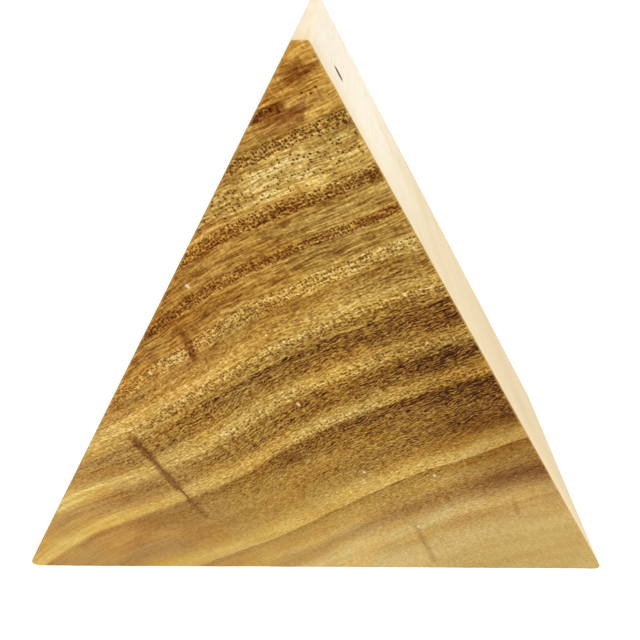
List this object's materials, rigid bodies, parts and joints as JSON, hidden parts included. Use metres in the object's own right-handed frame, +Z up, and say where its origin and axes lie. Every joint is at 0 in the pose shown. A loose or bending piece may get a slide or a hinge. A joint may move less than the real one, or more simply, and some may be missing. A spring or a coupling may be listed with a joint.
{
  "type": "triangular wooden block",
  "caption": "Solid hardwood block of equilateral triangular section, lying on a side face, with growth rings across its end faces and a dead pin knot near the ridge.",
  "frame": {"origin": "middle of the base, the side face that the block lies on", "axes": "+X along the base across the triangle, +Y along the grain from the front end face to the back one, +Z up to the ridge"},
  "size_m": [0.0892, 0.035, 0.0767],
  "materials": {
    "hardwood": "bare, planed sides and sanded end grain",
    "knot_wood": "bare, dark and dry"
  },
  "bodies": {
    "root": {"block": "hardwood", "pin_knot": "knot_wood"}
  },
  "joints": []
}
